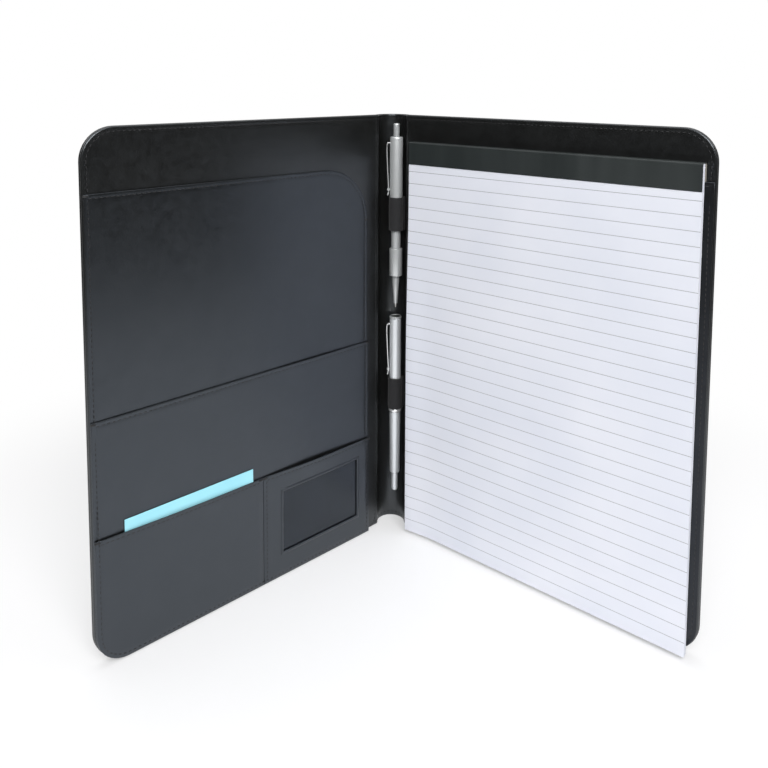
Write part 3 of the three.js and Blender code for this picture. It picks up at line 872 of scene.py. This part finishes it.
def binding_strip():
    """The strip folded over the pad's head, with a rounded fold."""
    thickness = 0.3
    path = softened([(strip_low[1], strip_low[2]), (strip_low[1], strip_high[2]),
                     (strip_high[1], strip_high[2]), (strip_high[1], strip_low[2])],
                    reach=1.4, steps=6)
    last = len(path) - 1
    bm = bmesh.new()
    columns = []
    for u in spread(strip_low[0], strip_high[0], 24):
        outer, inner = [], []
        for n, (t, z) in enumerate(path):
            ahead = path[min(n + 1, last)] - path[max(n - 1, 0)]
            normal = Vector((ahead.y, -ahead.x)).normalized()
            lifted = t + pad_lift(u, z) * smooth(t, strip_low[1], strip_high[1])
            outer.append(bm.verts.new(place_on(RIGHT, u, lifted, z)))
            inner.append(bm.verts.new(place_on(RIGHT, u, lifted + normal.x * thickness,
                                               z + normal.y * thickness)))
        columns.append((outer, inner))
    loft(bm, [outer + inner[::-1] for outer, inner in columns])
    for outer, inner in (columns[0], columns[-1]):
        bridge(bm, outer, inner, False)
    settle(finish_mesh("binding_strip", bm, strip_paper), "notepad", "binding_strip",
           "pad_binding_strip")


# Stitches

def raised(side_name, u, z):
    """Height of the topmost sewn layer above the lining at a place in the edge's seam."""
    if side_name == "right":
        return pad_panel_height(u, z) if u > panel_low[0] and z < panel_high[2] else 0
    if u < pocket_start + 1:
        return 0
    if z < lower_top(u):
        return lower_height(u, z)
    if z < middle_high[2]:
        return middle_height(u, z)
    if z < document_high[2] - document_corner or (
            u > pocket_start + document_corner and z < document_high[2]):
        return document_height(u, z)
    return 0


def sewing(side_name, outer, inner):
    """The rows of stitches round the edge of one half and beside its crease."""
    side = sides[side_name]

    def surface(s, z, depth):
        lift = raised(side_name, s - inner.s_of(0), z)
        return inner.place(s, z, depth) + (place_on(side, 0, lift, 0) - place_on(side, 0, 0, 0))

    for word, path, place in (("edge_stitches_outside", outer, outer.place),
                              ("edge_stitches", inner, surface)):
        line = row_line(outset_points(path.grid(), False, stitch_reach), place)
        bend(stitch_row(f"{side_name}_{word}", [line], black_thread))
    beside = {"left": 3.2, "right": 1.6}[side_name]  # the crease row of the lining, as u
    behind = 5.0  # that of the skin
    rows = 40
    heights = [cover_height * (k + 0.5) / rows for k in range(rows)]
    crease = [row_line([(path.s_of(u), z) for z in heights], path.place, sink=0.05)
              for path, u in ((inner, beside), (outer, behind))]
    bend(stitch_row(f"{side_name}_crease_stitches", crease, black_thread))


def top_row(grid, place):
    """The line of stitches under the top edge of a sheet."""
    line = outset_points(grid, True, stitch_reach)
    first = len(grid) + len(grid[0]) - 2
    return row_line(line[first:first + len(grid)], place)


def upright_row(u, low, high, place, spans=24):
    return row_line([(u, z) for z in spread(low, high, spans)], place)


def pocket_stitches(document, middle, card_pocket, window):
    """The stitches of the pockets' sheets, each given as (grid, place)."""
    clear = 3  # from a mouth to the end of the row beside it
    first = pocket_start + stitch_inset
    last = window[0][-1][0][0] + stitch_reach
    lower_start = lower_top(pocket_start)
    lines = [top_row(*sheet) for sheet in (document, middle, card_pocket, window)]
    lines += [
        upright_row(first, middle_high[2] + 1, document_high[2] - document_corner, document[1]),
        upright_row(first, lower_start + 1, middle_high[2] - clear, middle[1]),
        upright_row(first, 4, lower_start - clear, window[1]),
        upright_row(last, 4, lower_top(last) - clear, window[1], 20),
    ]
    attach(stitch_row("pocket_stitches", lines, black_thread), "left_cover")


def bar_tack(bm, point, across, normal):
    """A short bar of close stitches over the end of a pocket's mouth."""
    pitch = 0.42
    reach = 1.9
    beside = normal.cross(across).normalized()
    for row in (-1, 0, 1):
        middle = point + beside * row * pitch * METRES
        ends = [middle + across * distance * METRES for distance in spread(-reach, reach, 4)]
        stitch(bm, ends, [normal] * len(ends))


def bar_tacks():
    """Tacks at both ends of every mouth."""
    bm = bmesh.new()
    inset = 1.5
    start = pocket_start + inset
    end = cover_width - edge_gap - inset
    mouths = [
        (document_height, start + 0.3, document_high[2] - document_corner),
        (document_height, end, document_high[2] - inset),
        (middle_height, start, middle_high[2] - inset),
        (middle_height, end, middle_high[2] - inset),
        (lower_height, start, lower_top(pocket_start) - inset),
        (lower_height, divider - inset, lower_top(divider) - inset),
        (lower_height, divider + inset, lower_top(divider) - inset),
        (lower_height, end, lower_top(cover_width) - inset),
    ]
    for height, u, z in mouths:
        place = on_cover(LEFT, height)
        point = place(u, z, 0)
        normal = (point - place(u, z, 1)).normalized()
        bar_tack(bm, point, (place(u + 1, z, 0) - place(u - 1, z, 0)).normalized(), normal)
    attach(finish_mesh("pocket_bar_tacks", bm, black_thread), "left_cover")


def panel_stitches(grid, place):
    side = [(grid[0][0][0] - stitch_reach, z) for z in range(6, int(panel_high[2]) - 3, 8)]
    item = stitch_row("pad_panel_stitches", [top_row(grid, place), row_line(side, place)],
                      black_thread)
    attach(item, "right_cover")


# Pens

def size_of(node):
    """Lowest z, highest z and radius of a node."""
    low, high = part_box(node)
    return low.z / METRES, high.z / METRES, (high.y - low.y) / 2 / METRES


def centre_of(node):
    low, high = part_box(node)
    return (low.x + high.x) / 2 / METRES, (low.y + high.y) / 2 / METRES


def turned(name, node, body, profile, material, slot):
    settle(lathe(name, centre_of(node), profile, material), body, slot, node)


def tube_profile(outer, inner, bottom, top, edge):
    """A tube's closed profile with softened rims."""
    corners = [(inner, bottom), (outer, bottom), (outer, top), (inner, top)]
    return softened(corners, edge, steps=3) + [Vector(corners[0])]


def click_nose():
    bottom, top, _ = size_of("click_pen_nose")
    bore = 1.15
    spigot = 2.5
    shoulder = top - 6
    profile = [(bore, bottom), (1.35, bottom), (1.5, bottom + 0.25), (2.85, shoulder - 0.3),
               (2.7, shoulder), (spigot, shoulder), (spigot, top), (1.6, top), (bore, bottom + 11),
               (bore, bottom)]
    turned("click_nose", "click_pen_nose", "click_pen", profile, satin, "satin_metal")


def click_collar():
    bottom, top, radius = size_of("click_pen_collar")
    profile = tube_profile(radius, 2.8, bottom, top, 0.45)
    turned("click_collar", "click_pen_collar", "click_pen", profile, satin, "satin_metal")


def click_neck():
    bottom, top, _ = size_of("click_pen_neck")
    bore = 2.5
    lower = 3.05
    middle = 3.6
    upper = 3.9
    shoulder = top - 9.3
    profile = [(bore, bottom), (lower, bottom), (lower, bottom + 10.7), (middle, bottom + 10.9),
               (middle, shoulder), (upper, shoulder + 0.4), (upper, top), (bore, top), (bore, bottom)]
    turned("click_neck", "click_pen_neck", "click_pen", profile, satin, "satin_metal")


def click_barrel():
    bottom, top, radius = size_of("click_pen_barrel")
    bore = radius - 0.6
    hole = 2.7
    end_wall = top - 1.6
    profile = [(bore, bottom), (radius - 0.15, bottom), (radius, bottom + 0.15), (radius, top - 1.0),
               (radius - 0.12, top - 0.5), (radius - 0.45, top - 0.12), (radius - 0.95, top),
               (2.75, top), (hole, top - 0.1), (hole, end_wall), (bore, end_wall), (bore, bottom)]
    turned("click_barrel", "click_pen_barrel", "click_pen", profile, satin, "satin_metal")


def click_button():
    """The button, whose flange stays behind the barrel's end wall."""
    bottom, top, _ = size_of("click_pen_button")
    stem = 1.9
    flange = 4.0
    flange_top = size_of("click_pen_barrel")[1] - 1.9
    flange_foot = flange_top - 1
    profile = [(0, bottom), (stem, bottom), (stem, flange_foot), (flange, flange_foot),
               (flange, flange_top), (2.3, flange_top), (2.3, top - 2.2), (2.15, top - 2.0),
               (2.15, top - 1.8), (2.4, top - 1.6), (2.4, top - 0.9), (2.2, top - 0.45),
               (1.7, top - 0.15), (0.9, top - 0.02), (0, top)]
    turned("click_button", "click_pen_button", "click_pen_button", profile, satin, "satin_metal")


def click_refill():
    bottom, top, _ = size_of("click_pen_refill")
    tube = 1.3
    profile = [(0, bottom), (0.3, bottom + 0.1), (0.42, bottom + 0.5), (0.85, bottom + 2.2),
               (0.9, bottom + 18.8), (tube, bottom + 19.2), (tube, top), (0, top)]
    turned("click_refill", "click_pen_refill", "click_pen_button", profile, nickel, "refill_metal")


def capped_tail():
    """The tail with its five grooves, and the spigot that stands in the barrel."""
    bottom, top, _ = size_of("capped_pen_tail")
    ridge = 2.4
    dip = 2.2
    spigot = 2.35
    pitch = 1.55
    shoulder = top - 5
    profile = [(0, bottom), (1.6, bottom), (2.1, bottom + 0.2), (spigot, bottom + 0.7)]
    for k in range(5):
        z = bottom + 1.9 + k * pitch
        profile += [(ridge, z), (ridge, z + 0.5), (dip, z + 0.65), (dip, z + 0.95), (ridge, z + 1.1)]
    profile += [(ridge, shoulder), (spigot, shoulder + 0.05), (spigot, top), (0, top)]
    turned("capped_tail", "capped_pen_tail", "capped_pen", profile, pale_satin, "satin_metal")


def capped_barrel():
    bottom, top, radius = size_of("capped_pen_barrel")
    bore = 2.7
    profile = [(bore, bottom), (3.1, bottom), (3.6, bottom + 0.25), (3.88, bottom + 0.8),
               (radius, top), (bore, top), (bore, bottom)]
    turned("capped_barrel", "capped_pen_barrel", "capped_pen", profile, pale_satin, "satin_metal")


def capped_grip():
    """The grip inside the cap, with six grooves."""
    bottom, top, _ = size_of("capped_pen_grip")
    bore = 1.9
    spigot = 2.4
    dip = 3.1
    pitch = 2.6
    profile = [(bore, bottom), (spigot, bottom), (spigot, bottom + 8.3), (dip, bottom + 8.5),
               (3.3, bottom + 8.9)]
    for k in range(6):
        z = bottom + 13 + pitch * k
        profile += [(3.26, z), (dip, z + 0.3), (dip, z + 1.0), (3.24, z + 1.3)]
    profile += [(3.0, top), (bore, top), (bore, bottom)]
    turned("capped_grip", "capped_pen_grip", "capped_pen", profile, dark_plastic, "dark_plastic")


def capped_point():
    bottom, top, _ = size_of("capped_pen_point")
    radius = 3.0
    profile = [(0, bottom), (radius, bottom), (radius, bottom + 1.8), (2.9, bottom + 2.1),
               (1.2, top - 2.2), (0.9, top - 2), (0.5, top - 1.9), (0.45, top - 0.3), (0.2, top),
               (0, top)]
    turned("capped_point", "capped_pen_point", "capped_pen", profile, nickel, "refill_metal")


def cap_shell():
    bottom, top, radius = size_of("pen_cap")
    bore = radius - 0.6
    end_wall = top - 1.2
    profile = [(bore, bottom), (radius - 0.1, bottom), (radius, bottom + 0.1), (radius, top - 0.3),
               (radius - 0.3, top), (0, top), (0, end_wall), (bore, end_wall), (bore, bottom)]
    turned("cap_shell", "pen_cap", "pen_cap", profile, pale_satin, "satin_metal")


def cap_disc():
    """The cap's end disc and the slightly domed inlay in its dish."""
    bottom, top, radius = size_of("pen_cap_disc")
    dish = top - 0.3
    disc = [(0, bottom), (radius - 0.2, bottom), (radius, bottom + 0.2), (radius, top - 0.35),
            (radius - 0.1, top - 0.12), (radius - 0.35, top), (radius - 0.6, top),
            (radius - 0.7, dish), (0, dish)]
    turned("cap_disc", "pen_cap_disc", "pen_cap", disc, satin, "satin_metal")
    inlay = [(0, dish), (radius - 0.72, dish), (radius - 0.75, top - 0.12),
             (radius - 1.6, top - 0.03), (0, top)]
    settle(lathe("cap_disc_inlay", centre_of("pen_cap_disc"), inlay, nickel), "pen_cap",
           "satin_metal")


def cap_ring():
    bottom, top, radius = size_of("pen_cap_ring")
    profile = tube_profile(radius, 3.8, bottom, top, 0.7)
    turned("cap_ring", "pen_cap_ring", "pen_cap", profile, chrome, "bright_metal")


def clip(name, node, body):
    """A spring clip: a strip bent over at the top, drawn in to a nub that bears on the barrel, and
    flared at its end."""
    low, high = (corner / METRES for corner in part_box(node))
    middle_y = (low.y + high.y) / 2
    outer, bottom = low.x, low.z
    root, top = high.x, high.z
    bm = bmesh.new()
    path = [(root, top - 1.1), (outer + 1.6, top - 1.0), (outer + 0.45, top - 1.9),
            (outer + 0.42, top - 8), (outer + 1.0, top - 22), (outer + 1.75, bottom + 6.2),
            (outer + 1.85, bottom + 4.4), (outer + 1.45, bottom + 2.2), (outer + 1.15, bottom + 0.5)]
    path = softened(path, reach=1.3, steps=5)
    last = len(path) - 1
    half_thickness, half_width = 0.375, 1.5
    edge_x, edge_y = 0.22, 0.35  # how far the section's corners are rounded
    section = []
    for start, x, y in ((0, 1, 1), (90, -1, 1), (180, -1, -1), (270, 1, -1)):
        for turn in arc(start, start + 90, 3):
            section.append((x * (half_thickness - edge_x) + edge_x * math.cos(turn),
                            y * (half_width - edge_y) + edge_y * math.sin(turn)))
    rings = []
    for n, point in enumerate(path):
        ahead = (path[min(n + 1, last)] - path[max(n - 1, 0)]).normalized()
        narrow = 1 - 0.25 * smooth(n, last - 5, last)
        rings.append([vertex(bm, point.x + ahead.y * a, middle_y + b * narrow, point.y - ahead.x * a)
                      for a, b in section])
    loft(bm, rings, caps=True)
    nub_x, nub_z = root - 1.3, bottom + 4.8
    widen = 1.05
    nub = [[vertex(bm, nub_x + radius * widen * math.cos(turn), middle_y + y,
                   nub_z + radius * math.sin(turn)) for turn in arc(0, 360, 20)[:-1]]
           for y, radius in ((-0.9, 0.7), (-0.7, 0.95), (0.7, 0.95), (0.9, 0.7))]
    loft(bm, nub, caps=True)
    settle(finish_mesh(name, bm, chrome, sharp=50), body, "bright_metal", node)


def elastic_band(name, centre, bottom, top, inner, outer):
    """A woven band round a pen, ribbed along its length."""
    rim = outer - 0.15
    low_rib, high_rib = outer - 0.12, outer - 0.02
    ribs = round((top - bottom) / 1.1)
    pitch = (top - bottom) / ribs
    wall = [(inner, bottom), (rim, bottom)]
    for k in range(ribs):
        z = bottom + k * pitch
        wall += [(low_rib, z + pitch * 0.08), (high_rib, z + pitch * 0.3),
                 (high_rib, z + pitch * 0.7), (low_rib, z + pitch * 0.92)]
    wall += [(rim, top), (inner, top), (inner, bottom)]
    return lathe(name, centre, wall, elastic_weave)


def elastic_foot(name, direction, bottom, top):
    """The foot of a band, sewn flat to the channel and thinner towards its sides."""
    half_angle = 19
    steps = 12
    near, far = spine_inner - 1.15, spine_inner - 0.12
    bm = bmesh.new()
    columns = []
    for share in spread(-1, 1, steps):
        turn = direction + math.radians(half_angle) * share
        thin = near + 0.5 * abs(share) ** 3
        columns.append([vertex(bm, radius * math.cos(turn), hinge_y + radius * math.sin(turn), z)
                        for radius, z in ((thin, bottom), (thin, top), (far, top), (far, bottom))])
    loft(bm, columns, caps=True)
    return finish_mesh(name, bm, elastic_weave)


def elastic_loop(node, pen_node):
    bottom, top, _ = size_of(node)
    centre = centre_of(pen_node)
    inner = size_of("click_pen_barrel")[2] + 0.1
    band = elastic_band(f"{node}_band", centre, bottom, top, inner, inner + 0.5)
    settle(band, "spine", "elastic", node)
    direction = math.atan2(centre[1] - hinge_y, centre[0])
    settle(elastic_foot(f"{node}_foot", direction, bottom, top), "spine", "elastic")


# Kept frame pieces and the stage

def kept_nodes():
    """Materials of the frame's own pieces that are shown as they are."""
    finishes = {
        "spine_stiffener": greyboard, "left_cover_board": greyboard, "right_cover_board": greyboard,
        "pad_backing": greyboard, "window_film": window_film, "click_pen_spring": chrome,
        "capped_pen_refill": dark_plastic,
    }
    for node, material in finishes.items():
        item = frame["nodes"][node]
        item.data.materials.clear()
        item.data.materials.append(material)


def camera():
    """The photograph's viewpoint, measured from the hinge line."""
    place = Vector((-21.867, hinge_y - 583.97, 349.689))
    yaw, pitch, roll = (math.radians(angle) for angle in (1.51, 5.004, 0.249))
    focal = 780.334
    principal_row = 143.132
    size = 768
    data = bpy.data.cameras.new("camera")
    data.sensor_width = 36
    data.lens = focal / size * data.sensor_width
    data.shift_y = (principal_row - size / 2) / size
    data.clip_start = 0.01
    data.clip_end = 50
    item = bpy.data.objects.new("camera", data)
    bpy.context.collection.objects.link(item)
    level = math.radians(90)  # turns a camera from straight down to the horizon
    turn = (Matrix.Rotation(-yaw, 4, "Z") @ Matrix.Rotation(level - pitch, 4, "X")
            @ Matrix.Rotation(roll, 4, "Z"))
    item.matrix_world = Matrix.Translation(place * METRES) @ turn
    bpy.context.scene.camera = item


def lamp(name, place, target, size, power):
    data = bpy.data.lights.new(name, "AREA")
    data.shape = "RECTANGLE"
    data.size, data.size_y = size
    data.energy = power
    item = bpy.data.objects.new(name, data)
    item.location = place
    item.rotation_euler = (Vector(target) - Vector(place)).to_track_quat("-Z", "Y").to_euler()
    bpy.context.collection.objects.link(item)


def between(tree, source, span, values):
    """A value that goes smoothly from one to another while the source crosses a span."""
    inputs = {"Value": source, "From Min": span[0], "From Max": span[1],
              "To Min": values[0], "To Max": values[1]}
    return add(tree, "MapRange", inputs, interpolation_type="SMOOTHSTEP").outputs["Result"]


def floor():
    """A pale floor that fades into the white backdrop."""
    bpy.ops.mesh.primitive_circle_add(vertices=96, radius=0.7, fill_type="NGON",
                                      location=(0, 0, -0.0002))
    item = bpy.context.object
    item.name = "floor"
    material, tree, shader = new_material("floor")
    fill(tree, shader, {"Base Color": (0.93, 0.93, 0.94, 1), "Roughness": 0.9})
    item.data.materials.append(material)
    where = add(tree, "TexCoord", {}).outputs["Object"]
    distance = add(tree, "VectorMath", {0: where}, operation="LENGTH").outputs["Value"]
    fade = between(tree, distance, (0.25, 0.5), (0.35, 1))
    # The fade is for the rays that show the background, and not for those that light the folder.
    rays = add(tree, "LightPath", {}).outputs
    seen = maths(tree, "MAXIMUM", rays["Is Camera Ray"], rays["Is Glossy Ray"])
    seen = maths(tree, "MAXIMUM", seen, rays["Is Transmission Ray"])
    white = add(tree, "Emission", {"Strength": 1}).outputs["Emission"]
    mix = add(tree, "MixShader", {"Fac": maths(tree, "MULTIPLY", fade, seen),
                                  1: shader.outputs["BSDF"], 2: white})
    fill(tree, tree.nodes["Material Output"], {"Surface": mix.outputs["Shader"]})


def backdrop():
    """Bright behind the folder and darker in front, with a plain white for the camera."""
    world = bpy.data.worlds.new("studio")
    bpy.context.scene.world = world
    world.use_nodes = True
    tree = world.node_tree
    where = add(tree, "TexCoord", {}).outputs["Generated"]
    back = add(tree, "SeparateXYZ", {"Vector": where}).outputs["Y"]
    span = (-0.35, 0.35)
    strength = between(tree, back, span, (0.12, 0.5))
    gloss = between(tree, back, span, (0.03, 0.55))
    rays = add(tree, "LightPath", {}).outputs
    for kind, value in (("Is Glossy Ray", gloss), ("Is Transmission Ray", gloss),
                        ("Is Camera Ray", 1)):
        mix = add(tree, "Mix", {0: rays[kind], 2: strength, 3: value}, data_type="FLOAT")
        strength = mix.outputs[0]
    fill(tree, tree.nodes["Background"], {"Strength": strength, "Color": (1, 1, 1, 1)})


def stage():
    floor()
    backdrop()
    lamp("overhead", (0, 0.1, 1.6), (0, 0, 0.1), size=(1.6, 1.2), power=8)
    lamp("front", (0.12, -1.25, 1.3), (0, 0, 0.12), size=(1.5, 0.8), power=30)
    bpy.context.scene.view_settings.view_transform = "Standard"


camera()
stage()
for side_name in sides:
    sewing(side_name, *shells(side_name))
pocket_stitches(*pockets())
bar_tacks()
window_border()
card()
panel_stitches(*pad_panel())
writing_pad()
binding_strip()
for build in (click_nose, click_collar, click_neck, click_barrel, click_button, click_refill,
              capped_tail, capped_barrel, capped_grip, capped_point, cap_shell, cap_disc, cap_ring):
    build()
clip("click_clip", "click_pen_clip", "click_pen_clip")
clip("cap_clip", "pen_cap_clip", "pen_cap_clip")
elastic_loop("upper_pen_loop", "click_pen_barrel")
elastic_loop("lower_pen_loop", "pen_cap")
kept_nodes()
